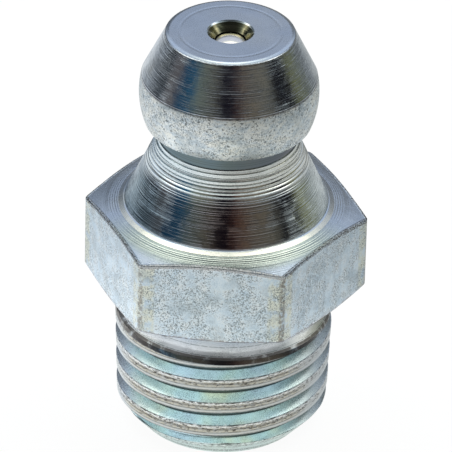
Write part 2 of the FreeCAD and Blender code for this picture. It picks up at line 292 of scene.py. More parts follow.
def add_floor():
    """A pale floor that keeps the nipple's shadow and is white to the camera. In reflections it glows with
    painted light: brighter to the left, brightest near the nipple and fading far off.
    """
    deselect_all()
    bpy.ops.mesh.primitive_plane_add(size=1.2)
    floor = bpy.context.object
    floor.name = "floor"
    material = bpy.data.materials.new("pale_floor")
    material.use_nodes = True
    tree = material.node_tree
    tree.nodes.clear()
    start = Socket(tree)
    seen = start.make("ShaderNodeLightPath", output="Is Camera Ray")
    glossy = start.make("ShaderNodeLightPath", output="Is Glossy Ray")
    matt = start.make("ShaderNodeBsdfDiffuse", None, {"Color": (0.9, 0.9, 0.9, 1)})
    x, y, _ = split(tree, start.make("ShaderNodeTexCoord", output="Object"))
    to_side = (x * SIDE.x + y * SIDE.y) * (0.5 / FLOOR_SPAN) + 0.5
    away = x.maths("SQRT", x * x + y * y)
    # Painted pool of light: the floor glows brighter near the nipple, seen in reflections only.
    near = (1 - away.rise(*NEAR_REACH)) * NEAR_LIGHT + 1
    strength = near * (1 - away.rise(*FAR_REACH) * FAR_FADE) * (1 - seen) + seen
    colour = to_side.ramp(FLOOR_LIGHT).mix(FLOOR_SEEN, seen)
    glow = start.make("ShaderNodeEmission", None, {"Color": colour, "Strength": strength})
    share = seen * SEEN_GLOW + glossy * MIRRORED_GLOW
    both = start.make("ShaderNodeMixShader", None, {0: share, 1: matt, 2: glow})
    out = tree.nodes.new("ShaderNodeOutputMaterial")
    tree.links.new(both.output, out.inputs["Surface"])
    floor.data.materials.append(material)


def deselect_all():
    """Leave nothing selected, because an operator acts on all that is."""
    for thing in bpy.context.view_layer.objects:
        thing.select_set(False)


add_room()
add_floor()
print("room with", len(WALL_STRIPS), "wall strips and", len(CEILING), "ceiling stops")

# %% [markdown]
# A turner sees the nipple as one profile. It is drawn the same way here: a point is extruded
# from corner to corner, and the line is spun round the axis. Each long side gets two extra
# points close to its ends, so that smooth shading stays off the neighbouring side.

# %% Drawing a profile
COLUMNS = 288
HOLD = 0.02
MERGE_WITHIN = 0.0005
DISSOLVE_WITHIN = 0.0002


def take(thing):
    """Pick one object alone."""
    deselect_all()
    thing.select_set(True)
    bpy.context.view_layer.objects.active = thing


def edit(thing, kind="VERT"):
    """Open one object alone in edit mode, with all of it selected."""
    take(thing)
    bpy.ops.object.mode_set(mode="EDIT")
    bpy.ops.mesh.select_mode(type=kind)
    bpy.ops.mesh.select_all(action="SELECT")


def leave():
    """Back to object mode."""
    bpy.ops.object.mode_set(mode="OBJECT")


def merge_points():
    """Merge points that lie on one another."""
    bpy.ops.mesh.select_all(action="SELECT")
    bpy.ops.mesh.remove_doubles(threshold=MERGE_WITHIN)


def draw_line(name, points):
    """A chain of edges through (radius, height) points, extruded from one vertex."""
    deselect_all()
    bpy.ops.mesh.primitive_plane_add(size=1)
    line = bpy.context.object
    line.name = name
    edit(line)
    bpy.ops.mesh.merge(type="CENTER")
    bpy.ops.transform.translate(value=(points[0][0], 0, points[0][1]))
    for (r, z), (next_r, next_z) in zip(points, points[1:]):
        step = {"value": (next_r - r, 0, next_z - z)}
        bpy.ops.mesh.extrude_region_move(TRANSFORM_OT_translate=step)
    leave()
    return line


def hold_edges(corners):
    """Add a point near each end of every side that is long enough."""
    points = [corners[0]]
    for (r, z), (next_r, next_z) in zip(corners, corners[1:]):
        length = math.hypot(next_r - r, next_z - z)
        if length > 6 * HOLD:
            for share in (HOLD / length, 1 - HOLD / length):
                points.append((r + (next_r - r) * share, z + (next_z - z) * share))
        points.append((next_r, next_z))
    return points


def arc(centre_r, centre_z, radius, start, stop, steps):
    """Points on an arc, from one angle to another, in degrees from the horizontal."""
    found = []
    for step in range(steps + 1):
        angle = math.radians(start + (stop - start) * step / steps)
        found.append((centre_r + radius * math.cos(angle), centre_z + radius * math.sin(angle)))
    return found


# %% [markdown]
# The collar's upper half shows the tool's feed as a stack of small steps. Each has a steep
# face, which mirrors the pale floor, and a flatter one, which mirrors the dark wall. So it
# reads as silver with thin dark lines at the top, and as dark with thin pale ones below.

# %% The turned profile
HEX_APOTHEM = 4.5
HEX_CORNER = 0.3
SPUN_FLANGE = 5.3
SEAT_EDGE = 3.8
SEAT_SLOPE = math.tan(math.radians(15))
CROWN_SLOPE = math.tan(math.radians(16))
CROWN = 9.0
FOOT_RADIUS = 3.744
NECK_RADIUS = 2.5
COLLAR_TOP = 11.69
NECK_TOP = 12.10
HEAD_RADIUS = 3.25
HEAD_CENTRE = 13.58
ZONE_LOW = 12.40
ZONE_HIGH = 14.22
RIM = [(2.35, 15.93), (2.325, 15.952), (2.225, 15.990), (2.19, 16.0)]
RING_RADIUS = 4.42
RING_SLOPE = math.tan(math.radians(27.5))
RING_STEPS = [
    (3.755, 3.93), (3.96, 3.995), (4.04, 4.08), (4.13, 4.16), (4.22, 4.25), (4.30, 4.32),
    (4.37, 4.385),
]
FACE_LINE = [(1.9, 0), (1.86, 0.006), (1.80, 0.006), (1.76, 0)]
FACE_EDGE = 2.9
THROAT = (0.557, 15.67)
MOUTH = 0.827
BORE = 1.35
LUG_DEPTH = 0.45
MARK_LOW = 1.60
MARK_HIGH = 1.94
RING_GAP = 0.004
RELIEF_RADIUS = 3.40
LINES_LOW = 10.2
STEP_PITCH = 0.10


def collar_radius(z):
    """The collar's cone."""
    return FOOT_RADIUS + (NECK_RADIUS - FOOT_RADIUS) * (z - CROWN) / (COLLAR_TOP - CROWN)


def crown_height(r):
    """Height of the hexagon's top bevel."""
    return CROWN - (r - FOOT_RADIUS) * CROWN_SLOPE


def seat_height(r):
    """Height of the hexagon's bottom bevel."""
    return SEAT + (r - SEAT_EDGE) * SEAT_SLOPE


def tool_steps():
    """The feed marks: each has a steep face, which takes up more of the pitch further up."""
    dice = random.Random(4)
    points = []
    z = LINES_LOW
    while z < COLLAR_TOP - 0.12:
        pitch = STEP_PITCH * dice.uniform(0.6, 1.5)
        share = min((z - LINES_LOW) / (COLLAR_TOP - 0.3 - LINES_LOW), 1.0) ** 1.3
        steep = pitch * min(max(share * dice.uniform(0.75, 1.3), 0.07), 0.92)
        plain = (pitch - steep) * 0.8
        lean = math.tan(math.radians(dice.uniform(1, 11)))
        points.append((collar_radius(z), z))
        points.append((collar_radius(z + plain), z + plain))
        points.append((collar_radius(z + plain) - steep * lean, z + plain + steep))
        z += pitch
    return points


def ring_steps():
    """A bright land at the collar's foot, then fine turned steps further out on the crown."""
    points = []
    for inner, outer in RING_STEPS:
        lift = (outer - inner) * (RING_SLOPE - CROWN_SLOPE)
        points.append((inner, crown_height(inner) + lift))
        points.append((outer, crown_height(outer)))
    return points


def turned_profile():
    """The outline from the relief under the hexagon, over the head and down the bore."""
    flange_low = SEAT + (SPUN_FLANGE - SEAT_EDGE) * SEAT_SLOPE
    flange_high = CROWN - (SPUN_FLANGE - FOOT_RADIUS) * CROWN_SLOPE
    points = [(RELIEF_RADIUS, SEAT - 0.03), (RELIEF_RADIUS, SEAT), (SEAT_EDGE, SEAT)]
    for share in (0.3, 0.6, 0.85, 1.0):
        r = SEAT_EDGE + (SPUN_FLANGE - SEAT_EDGE) * share
        points.append((r, SEAT + (r - SEAT_EDGE) * SEAT_SLOPE))
    for share in (0.1, 0.35, 0.65, 0.9, 1.0):
        points.append((SPUN_FLANGE, flange_low + (flange_high - flange_low) * share))
    for share in (0.92, 0.75, 0.5, 0.25, 0.0):
        r = RING_RADIUS + (SPUN_FLANGE - RING_RADIUS) * share
        points.append((r, crown_height(r)))
    points += reversed(ring_steps())
    points += [(FOOT_RADIUS - 0.03, CROWN + 0.045)]
    points += [(collar_radius(CROWN + 0.13), CROWN + 0.13), (collar_radius(9.6), 9.6)]
    points += tool_steps()
    points += [(NECK_RADIUS, COLLAR_TOP), (NECK_RADIUS, NECK_TOP)]
    low = math.degrees(math.asin((ZONE_LOW - HEAD_CENTRE) / HEAD_RADIUS))
    high = math.degrees(math.asin((ZONE_HIGH - HEAD_CENTRE) / HEAD_RADIUS))
    points += arc(0, HEAD_CENTRE, HEAD_RADIUS, low, high, 22)
    points += RIM
    points += [(r, TOP - sunk) for r, sunk in FACE_LINE]
    points += [(MOUTH + 0.03, TOP), (MOUTH, TOP - 0.03), THROAT]
    seat_foot = THROAT[1] - (BORE - THROAT[0])
    points += [(BORE, seat_foot), (BORE, seat_foot * 0.5), (BORE, LUG_DEPTH + RING_GAP)]
    points += [(BORE, LUG_DEPTH), (BORE, 0.0), (MARK_LOW - RING_GAP, 0.0), (MARK_LOW, 0.0)]
    points += [(MARK_HIGH, 0.0), (MARK_HIGH + RING_GAP, 0.0), (FACE_EDGE, 0.0)]
    return points


def spin_shell():
    """Spin the profile, then merge the seam."""
    shell = draw_line("nipple_shell", hold_edges(turned_profile()))
    edit(shell)
    bpy.ops.mesh.spin(steps=COLUMNS, angle=2 * math.pi, center=(0, 0, 0), axis=(0, 0, 1))
    merge_points()
    leave()
    return shell


shell = spin_shell()
print("turned shell:", len(shell.data.polygons), "faces")

# %% [markdown]
# The hexagon is what the turning tool left of the bar. The spun flange is pushed in to the
# bar's outline: flats, and corners rounded by 0.3 mm. Its columns are drawn together at the
# corners first, because a round corner needs them and a flat doesn't. A small bevel then
# breaks the edge between each flat and the crown, and is nicked a little, as handling does.

# %% The hexagon
SQUEEZE = 0.78
EDGE_BREAK = 0.085
NICKS = 0.014
CORNER_CENTRE = (HEX_APOTHEM - HEX_CORNER) / math.cos(math.radians(30))
CORNER_SPAN = math.atan2(HEX_CORNER * 0.5, CORNER_CENTRE + HEX_CORNER * math.cos(math.radians(30)))


def bar_radius(angle):
    """How far the bar reaches at an angle, with a corner along X."""
    sixth = math.radians(60)
    off = abs((angle + sixth / 2) % sixth - sixth / 2)
    if off < CORNER_SPAN:
        sideways = CORNER_CENTRE * math.sin(off)
        return CORNER_CENTRE * math.cos(off) + math.sqrt(HEX_CORNER ** 2 - sideways ** 2)
    return HEX_APOTHEM / math.cos(math.radians(30) - off)


def press_hexagon(thing):
    """Push the round flange in to the bar's outline."""
    low, high = seat_height(SPUN_FLANGE), crown_height(SPUN_FLANGE)
    for vertex in thing.data.vertices:
        x, y, z = vertex.co
        r = math.hypot(x, y)
        inner = SEAT_EDGE if z < (low + high) / 2 else RING_RADIUS
        if r < inner + 0.001 or z > CROWN or z < SEAT:
            continue
        out = min((r - inner) / (SPUN_FLANGE - inner), 1.0)
        angle = math.atan2(y, x)
        angle -= SQUEEZE * math.sin(6 * angle) / 6 * out
        reach = bar_radius(angle)
        if r > SPUN_FLANGE - 0.001:
            share = (z - low) / (high - low)
            z = seat_height(reach) + share * (crown_height(reach) - seat_height(reach))
            r = reach
        else:
            r = inner + out * (reach - inner)
            z = seat_height(r) if inner == SEAT_EDGE else crown_height(r)
        vertex.co = (r * math.cos(angle), r * math.sin(angle), z)


def on_hexagon_edge(vertex):
    """Whether a vertex lies where a flat meets the top or the bottom bevel."""
    r = math.hypot(vertex.co.x, vertex.co.y)
    at_outline = abs(r - bar_radius(math.atan2(vertex.co.y, vertex.co.x))) < 0.002
    at_top = abs(vertex.co.z - crown_height(r)) < 0.002
    at_bottom = abs(vertex.co.z - seat_height(r)) < 0.002
    return at_outline and (at_top or at_bottom)


def break_hexagon_edges(thing):
    """Bevel the flats' upper and lower edges."""
    edit(thing, "EDGE")
    bpy.ops.mesh.select_all(action="DESELECT")
    mesh = bmesh.from_edit_mesh(thing.data)
    count = 0
    for edge in mesh.edges:
        if all(on_hexagon_edge(vertex) for vertex in edge.verts):
            edge.select_set(True)
            count += 1
    bmesh.update_edit_mesh(thing.data)
    bpy.ops.mesh.bevel(offset=EDGE_BREAK, segments=3, affect="EDGES")
    for vertex in bmesh.from_edit_mesh(thing.data).verts:
        if vertex.select:
            dent = NICKS * noise.noise(vertex.co * 2.4) ** 2 + NICKS * abs(noise.noise(vertex.co * 9.0))
            vertex.co.z += -dent if vertex.co.z > (SEAT + CROWN) / 2 else dent
            vertex.co.xy *= 1 - dent / HEX_APOTHEM
    bmesh.update_edit_mesh(thing.data)
    leave()
    return count


press_hexagon(shell)
print("hexagon edges broken:", break_hexagon_edges(shell))

# %% [markdown]
# The thread is a right-handed 1 mm V-thread on a tail that tapers 1 in 16. A line with the
# tooth's points, repeated once per pitch, is drawn out by a Screw modifier that climbs one
# pitch in a turn, so the mesh itself winds as the thread does. Each vertex is then moved in
# to the groove or to the blank's outline, whichever is deeper, and the ends run out as on a lathe.

# %% The thread
PITCH = 1.0
GROOVE_AT_FRONT = 3.96
GROOVE_DEPTH = 0.41
ROOT_FLAT = 0.10
FLANK = 0.235
THREAD_RADIUS = 3.98
TAPER = 1 / 32
THREAD_TOP = 4.52
THREAD_TURNS = 10
LEAD_IN = 0.95
END_RADIUS = 3.04
TOOTH = (0.0, 0.05, 0.11, 0.17, 0.23, 0.285, 0.36, 0.5, 0.64, 0.715, 0.77, 0.83, 0.89, 0.95)
BLANK = [
    (0.0, END_RADIUS), (LEAD_IN, THREAD_RADIUS - (THREAD_TOP - LEAD_IN) * TAPER),
    (4.35, 3.975), (4.50, 3.915), (4.74, 3.70), (4.975, RELIEF_RADIUS), (SEAT, RELIEF_RADIUS),
]
LEAD_CUTS = [0.1 * step for step in range(1, 10)]
RUNOUT_CUTS = [4.58, 4.66, 4.82, 4.9]
TAIL_END = SEAT - 0.12


def blank_radius(z):
    """The tail's outline before it is threaded."""
    for (low, low_r), (high, high_r) in zip(BLANK, BLANK[1:]):
        if z <= high:
            return low_r + (high_r - low_r) * max(z - low, 0) / (high - low)
    return RELIEF_RADIUS


def groove_radius(angle, z):
    """The V-groove's floor at a place on the tail."""
    turn = (angle - FRONT_ANGLE) / (2 * math.pi)
    off = (z - GROOVE_AT_FRONT) / PITCH - turn
    off = abs(off - round(off)) * PITCH
    share = min(max((ROOT_FLAT / 2 + FLANK - off) / FLANK, 0.0), 1.0)
    return THREAD_RADIUS - (THREAD_TOP - z) * TAPER - GROOVE_DEPTH * share


def slice_at(z, keep_above=False, keep_below=False):
    """Cut every face along one height, and drop one side if asked."""
    bpy.ops.mesh.select_all(action="SELECT")
    bpy.ops.mesh.bisect(
        plane_co=(0, 0, z), plane_no=(0, 0, 1), clear_inner=keep_above, clear_outer=keep_below
    )


def make_thread():
    """The threaded tail, from its end face's edge up into the relief."""
    phase = GROOVE_AT_FRONT - FRONT_ANGLE / (2 * math.pi) * PITCH
    start = phase - PITCH * math.ceil(phase + 2)
    points = []
    for turn in range(THREAD_TURNS):
        points += [(THREAD_RADIUS, start + (turn + share) * PITCH) for share in TOOTH]
    tail = draw_line("nipple_tail", points)
    screw = tail.modifiers.new("screw", "SCREW")
    screw.steps = COLUMNS
    screw.render_steps = COLUMNS
    screw.screw_offset = PITCH
    screw.use_smooth_shade = False
    bpy.ops.object.modifier_apply(modifier=screw.name)
    edit(tail)
    merge_points()
    slice_at(0.0, keep_above=True)
    slice_at(TAIL_END, keep_below=True)
    for height in LEAD_CUTS + [z for z, _ in BLANK[1:-1]] + RUNOUT_CUTS:
        slice_at(height)
    leave()
    for vertex in tail.data.vertices:
        x, y, z = vertex.co
        angle = math.atan2(y, x)
        r = min(blank_radius(z), groove_radius(angle, z))
        vertex.co = (r * math.cos(angle), r * math.sin(angle), z)
    return tail


tail = make_thread()
print("threaded tail:", len(tail.data.polygons), "faces")

# %% [markdown]
# Shell and tail become one mesh. The two open rings above the relief and the two at the end
# face have different numbers of points, and a plain bridge between such rings can twist. So
# each pair is closed like a zip: both rings are followed by angle, with a triangle per step.

# %% Joining the body


def angle_of(vertex):
    """Where a vertex lies round the axis."""
    return math.atan2(vertex.co.y, vertex.co.x)


def zip_rings(thing, low, high):
    """Close the gap between the two open rings that lie between two heights."""
    edit(thing)
    mesh = bmesh.from_edit_mesh(thing.data)
    open_points = {point for edge in mesh.edges if edge.is_boundary for point in edge.verts}
    found = [point for point in open_points if low < point.co.z < high]
    reach = {point: math.hypot(point.co.x, point.co.y) + point.co.z for point in found}
    middle = (min(reach.values()) + max(reach.values())) / 2
    near = sorted((point for point in found if reach[point] < middle), key=angle_of)
    far = sorted((point for point in found if reach[point] >= middle), key=angle_of)
    i, j = 0, 0
    while i < len(near) or j < len(far):
        near_next = angle_of(near[i + 1]) if i + 1 < len(near) else math.pi * (1 + 2 * (i == len(near)))
        far_next = angle_of(far[j + 1]) if j + 1 < len(far) else math.pi * (1 + 2 * (j == len(far)))
        here = (near[i % len(near)], far[j % len(far)])
        if near_next <= far_next:
            i += 1
            mesh.faces.new((here[0], here[1], near[i % len(near)]))
        else:
            j += 1
            mesh.faces.new((here[0], here[1], far[j % len(far)]))
    bmesh.update_edit_mesh(thing.data)
    leave()
    return len(near), len(far)


def open_edges(thing):
    """How many edges lack a face on one side, or have too many."""
    mesh = bmesh.new()
    mesh.from_mesh(thing.data)
    count = sum(1 for edge in mesh.edges if len(edge.link_faces) != 2)
    mesh.free()
    return count


def join_body():
    """One closed mesh, with its faces pointing out."""
    take(shell)
    tail.select_set(True)
    bpy.ops.object.join()
    body = bpy.context.object
    body.name = "plated_body"
    for low, high in ((SEAT - 0.2, SEAT + 0.1), (-0.1, 0.05)):
        print("rings zipped, points in each:", zip_rings(body, low, high))
    edit(body)
    merge_points()
    bpy.ops.mesh.dissolve_degenerate(threshold=DISSOLVE_WITHIN)
    bpy.ops.mesh.select_all(action="SELECT")
    bpy.ops.mesh.normals_make_consistent(inside=False)
    leave()
    return body


def widest_face(thing):
    """How far the widest face reaches round the axis, in degrees: a twisted one reaches far."""
    widest = 0.0
    for face in thing.data.polygons:
        angles = [angle_of(thing.data.vertices[number]) for number in face.vertices]
        turns = [abs(math.remainder(angle - angles[0], 2 * math.pi)) for angle in angles]
        widest = max(widest, max(turns))
    return round(math.degrees(widest), 2)


body = join_body()
print("body:", len(body.data.polygons), "faces,", open_edges(body), "open edges")
print("widest face:", widest_face(body), "degrees")

# %% [markdown]
# At the tail, four blows with a square punch push lugs of metal into the bore, and they hold
# the spring in. The profile already has rings at the lugs' top and round the punch marks. So
# the blows only move points: the bore's wall goes in to a round nose, and the rings on the end
# face are drawn straight and pushed up. The mesh stays closed, as the metal did.

# %% The staked tail
STAKES = 4
LUG_RADIUS = 0.4
LUG_CENTRE = 1.33
MARK_HALF_WIDTH = 0.45
MARK_DEPTH = 0.3
MARK_ANGLE = math.radians(15)
CALM_ANGLE = math.radians(26)


def lug_place(r, off):
    """The bore's wall, pushed in to the lug's round nose."""
    sideways = LUG_CENTRE * math.sin(off)
    if abs(sideways) < LUG_RADIUS:
        r = LUG_CENTRE * math.cos(off) - math.sqrt(LUG_RADIUS ** 2 - sideways ** 2)
    return r * math.cos(off), r * math.sin(off)


def mark_place(r, off):
    """A ring on the end face, drawn straight across the punch mark and round elsewhere."""
    if abs(off) <= MARK_ANGLE:
        return r, MARK_HALF_WIDTH * off / MARK_ANGLE
    share = (abs(off) - MARK_ANGLE) / (CALM_ANGLE - MARK_ANGLE)
    x = r + (r * math.cos(CALM_ANGLE) - r) * share
    y = MARK_HALF_WIDTH + (r * math.sin(CALM_ANGLE) - MARK_HALF_WIDTH) * share
    return x, math.copysign(y, off)


def stake(thing):
    """Push the lugs in and the punch marks up."""
    moved = 0
    for vertex in thing.data.vertices:
        x, y, z = vertex.co
        r = math.hypot(x, y)
        turn = 2 * math.pi / STAKES
        about = round(math.atan2(y, x) / turn) * turn
        off = math.atan2(y, x) - about
        on_wall = abs(r - BORE) < 0.001 and z < LUG_DEPTH + 0.001
        on_face = MARK_LOW - 1.5 * HOLD < r < MARK_HIGH + 1.5 * HOLD and z < 0.001
        if on_wall:
            x, y = lug_place(r, off)
        elif on_face and abs(off) < CALM_ANGLE:
            x, y = mark_place(r, off)
            sunk = MARK_LOW - 0.001 < r < MARK_HIGH + 0.001 and abs(off) < MARK_ANGLE + 0.001
            z = MARK_DEPTH if sunk else 0.0
        else:
            continue
        vertex.co = Matrix.Rotation(about, 3, "Z") @ Vector((x, y, z))
        moved += 1
    return moved


print("staked:", stake(body), "points moved,", open_edges(body), "open edges")

# %% [markdown]
# The ball starts as a cube whose faces are divided and blown up to a sphere. Its faces are
# then nearly alike all over, with no poles to pinch the highlight.

# %% The ball
BALL_CUTS = 23


def make_ball():
    """The steel ball, from its own box in the frame."""
    centre = (BALL_LOW + BALL_HIGH) / 2
    radius = (BALL_HIGH.z - BALL_LOW.z) / 2
    deselect_all()
    bpy.ops.mesh.primitive_cube_add(size=2)
    ball = bpy.context.object
    ball.name = "polished_ball"
    edit(ball)
    bpy.ops.mesh.subdivide(number_cuts=BALL_CUTS)
    leave()
    for vertex in ball.data.vertices:
        vertex.co = centre + vertex.co.normalized() * radius
    return ball


ball = make_ball()
print("ball:", len(ball.data.polygons), "faces")

# %% [markdown]
# The spring is round wire wound on a mandrel, with one closed turn at each end and eight open
# ones between. A curve with a round bevel follows the winding, and becomes a mesh at the end.

# %% The spring
WIRE = 0.15
COIL = 1.08
OPEN_TURNS = 8
CLOSED_RISE = 0.32
TURN_POINTS = 28


def coil_height(turns):
    """How high the wire's centre has climbed after so many turns."""
    rise = (SPRING_HIGH.z - SPRING_LOW.z) - 2 * WIRE
    if turns < 1:
        return CLOSED_RISE * turns
    if turns > OPEN_TURNS + 1:
        return rise - CLOSED_RISE * (OPEN_TURNS + 2 - turns)
    return CLOSED_RISE + (rise - 2 * CLOSED_RISE) * (turns - 1) / OPEN_TURNS


def make_spring():
    """The wound wire."""
    data = bpy.data.curves.new("spring_wire", "CURVE")
    data.dimensions = "3D"
    data.bevel_depth = WIRE
    data.bevel_resolution = 3
    data.use_fill_caps = True
    spline = data.splines.new("POLY")
    count = (OPEN_TURNS + 2) * TURN_POINTS
    spline.points.add(count)
    for number, point in enumerate(spline.points):
        turns = number / TURN_POINTS
        angle = 2 * math.pi * turns
        height = SPRING_LOW.z + WIRE + coil_height(turns)
        point.co = (COIL * math.cos(angle), COIL * math.sin(angle), height, 1)
    wire = bpy.data.objects.new("wound_spring", data)
    bpy.context.scene.collection.objects.link(wire)
    take(wire)
    bpy.ops.object.convert(target="MESH")
    wire = bpy.context.object
    edit(wire)
    merge_points()
    bpy.ops.mesh.normals_make_consistent(inside=False)
    leave()
    return wire


spring = make_spring()
print("spring:", len(spring.data.polygons), "faces,", open_edges(spring), "open edges")

# %% [markdown]
# Zinc plate keeps what was under it. Turned faces keep the feed lines, the bar's drawn flats
# keep pits and streaks, and the clear passivation on top tints it blue, green or straw. The
# material tells these faces apart by height and radius, as a caliper would, and by the side that faces the
# camera, where light and shade are painted in.

# %% Telling the faces apart
RING_LAND = RING_STEPS[0][1]
FLATS_FROM = (4.2, 4.3)
HEXAGON_FROM = (4.38, 4.42)
CORNER_FROM = (4.92, 4.98)
CORNER_EDGE = (5.12, 5.14)
TOP_EDGE = (0.09, 0.13)
BOTTOM_EDGE = (0.05, 0.10)
FRONT_EDGE = (4.36, 4.42)
RELIEF_FROM = 4.51
THREAD_END = (4.33, 4.36)
LEAD_END = (0.85, 0.97)
LAND = (4.36, 4.585)
LAND_RADIUS = (3.76, 3.80)
RUNOUT_LINES = [(4.60, 4.62, 0.008), (4.84, 4.855, 0.006)]


def object_place(tree):
    """Object coordinates in millimetres: the vector, its parts and the radius."""
    raw = Socket(tree).make("ShaderNodeTexCoord", output="Object")
    place = raw.make("ShaderNodeVectorMath", {"operation": "SCALE"}, {0: raw, "Scale": 1 / MM})
    x, y, z = split(tree, place)
    return place, x, y, z, x.maths("SQRT", x * x + y * y)


class Surface:
    """A point of the plated steel: its place, the metal's noises and a share for each face."""

    def __init__(self, tree):
        self.place, self.x, self.y, self.z, self.r = object_place(tree)
        self.to_right = (self.x * SIDE.x + self.y * SIDE.y) * 0.1 + 0.5
        self.to_front = self.x * FRONT.x + self.y * FRONT.y
        self.far_right = self.to_right.rise(0.72, 0.84)
        self.feed = self.z - self.r * 0.7
        self.cloud = self.place.noise(0.55, 3.0, 0.6)
        self.mottle = self.place.noise(2.6, 4.0, 0.65)
        self.grain = self.place.noise(7.0, 3.0, 0.65)
        self.fine = self.place.noise(22.0, 2.0, 0.6)
        self.tell_head()
        self.tell_hexagon()
        self.tell_tail()
        self.pits = self.find_pits()

    def tell_head(self):
        """The turned faces above the hexagon."""
        z, r = self.z, self.r
        self.cone = z.band(ZONE_HIGH + 0.02, TOP - 0.04, 0.02) * r.rise(1.4, 1.5)
        self.cone_foot = z.band(ZONE_HIGH - 0.06, ZONE_HIGH + 0.05, 0.02) * r.rise(3.0, 3.05)
        self.disc = z.rise(TOP - 0.02, TOP - 0.005) * r.rise(MOUTH - 0.02, MOUTH + 0.02)
        self.rim = r.band(2.30, 2.40, 0.01) * z.rise(15.86, 15.9)
        self.inlet = (1 - r.rise(MOUTH - 0.03, MOUTH)) * z.rise(15.5, 15.6)
        self.zone = z.band(ZONE_LOW - 0.02, ZONE_HIGH, 0.03) * r.rise(2.5, 2.6)
        self.neck = z.band(COLLAR_TOP, ZONE_LOW - 0.02, 0.02) * r.rise(2.3, 2.4)
        self.collar = z.band(CROWN + 0.08, COLLAR_TOP, 0.02) * r.rise(2.3, 2.4)
        self.lower_collar = self.collar * (1 - z.rise(LINES_LOW, 11.0))

    def tell_hexagon(self):
        """The hexagon's flats, corners, bevels and edges, and the relief under it."""
        x, y, z, r = self.x, self.y, self.z, self.r
        under_crown = (CROWN + FOOT_RADIUS * CROWN_SLOPE) - r * CROWN_SLOPE - z
        over_seat = z - r * SEAT_SLOPE - (SEAT - SEAT_EDGE * SEAT_SLOPE)
        self.flats = under_crown.rise(0.03, 0.06) * over_seat.rise(0.03, 0.06) * r.rise(*FLATS_FROM)
        self.corner = r.rise(*CORNER_FROM) * self.flats
        on_crown = (1 - under_crown.rise(0.02, 0.04)) * r.rise(FOOT_RADIUS, FOOT_RADIUS + 0.05)
        self.crown = on_crown * z.rise(8, 8.2)
        tilted = x * math.cos(math.radians(30))
        across = abs(y)
        for direction in (tilted + y * 0.5, tilted - y * 0.5):
            across = across.maths("MAXIMUM", across, abs(direction))
        hexagon = across.rise(*HEXAGON_FROM) * z.rise(SEAT, SEAT + 0.1)
        self.top_edge = (1 - under_crown.rise(*TOP_EDGE)) * hexagon
        self.bottom_edge = (1 - over_seat.rise(*BOTTOM_EDGE)) * hexagon
        self.front_edge = (0 - y).rise(*FRONT_EDGE)
        relief = z.band(RELIEF_FROM, SEAT + 0.5, 0.01) * (1 - over_seat.rise(0.0, 0.02))
        self.relief = relief * r.rise(2.0, 2.1)

    def tell_tail(self):
        """The land, and the thread by how deep a point lies below the tail's blank."""
        x, z, r = self.x, self.z, self.r
        self.land = z.band(*LAND, 0.012) * r.rise(*LAND_RADIUS)
        line = z * TAPER + (THREAD_RADIUS - THREAD_TOP * TAPER)
        lead = z * ((BLANK[1][1] - END_RADIUS) / LEAD_IN) + END_RADIUS
        depth = (line.maths("MINIMUM", line, lead) - r) * (1 / GROOVE_DEPTH)
        thread = (1 - z.rise(*THREAD_END)) * r.rise(2.9, 3.0)
        self.crest = (1 - depth.rise(0.02, 0.08)) * thread
        self.root = depth.rise(0.86, 0.97) * thread
        self.flank = depth.rise(0.04, 0.10) * (1 - depth.rise(0.90, 0.96)) * thread
        self.at_side = abs(x).rise(2.9, 3.6)
        self.around = x.maths("ARCTAN2", x, 0 - self.y)
        climb = z - self.around * (PITCH / (2 * math.pi))
        self.tooth = climb.maths("FRACT", climb)

    def find_pits(self):
        """Small pits in clusters, most of them on the flats and the zone."""
        clusters = self.place.noise(1.3, 3.0, 0.6).rise(0.34, 0.58)
        pits = self.place.noise(27.0, 2.0, 0.55).rise(0.50, 0.62) * clusters
        share = self.flats * 1.2 + self.zone * 0.9 + self.crown * 0.25 + self.flank * 0.5
        share = share + self.disc * 0.25 + self.cone * 0.3 + self.collar * 0.3 + self.relief * 0.3
        return pits * share


print("dark land", LAND, "and", len(RUNOUT_LINES), "tool lines above it")

# %% [markdown]
# The plating's colour is mixed in layers. Each one gives its tints, and says how much of each
# shows here. Some layers also paint light and shade: highlights and reflections in front, shade on the
# right, and a shadow in the thread's root.

# %% The plating's colour
CLOUDY = [
    (0.30, 0.60, 0.70, 0.84), (0.46, 0.70, 0.78, 0.88), (0.58, 0.80, 0.84, 0.86),
    (0.70, 0.84, 0.85, 0.78),
]


def stretched(place, x, y, z):
    """A vector squeezed along each axis, which draws a pattern out."""
    settings = {"operation": "MULTIPLY"}
    return place.make("ShaderNodeVectorMath", settings, {0: place, 1: (x, y, z)})


def plating(here):
    """Clear on the flats, creamy on the zone, and bluish on the end face and the crown."""
    clear = (here.mottle * 0.6 + here.fine * 0.4).ramp([
        (0.36, 0.56, 0.68, 0.77), (0.46, 0.74, 0.86, 0.94), (0.54, 0.84, 0.93, 0.98),
        (0.64, 0.93, 0.97, 0.97),
    ])
    creamy = stretched(here.place, 1.0, 1.0, 2.0).noise(2.0, 6.0, 0.80).ramp([
        (0.34, 0.48, 0.55, 0.58), (0.42, 0.78, 0.86, 0.90), (0.50, 0.97, 1.0, 0.97),
        (0.60, 1.0, 0.99, 0.90),
    ])
    yield clear, here.flats * 0.9
    yield creamy, here.zone * 0.9
    yield (0.60, 0.66, 0.78, 1), here.disc * 0.75
    yield (0.62, 0.69, 0.80, 1), here.crown * 0.7


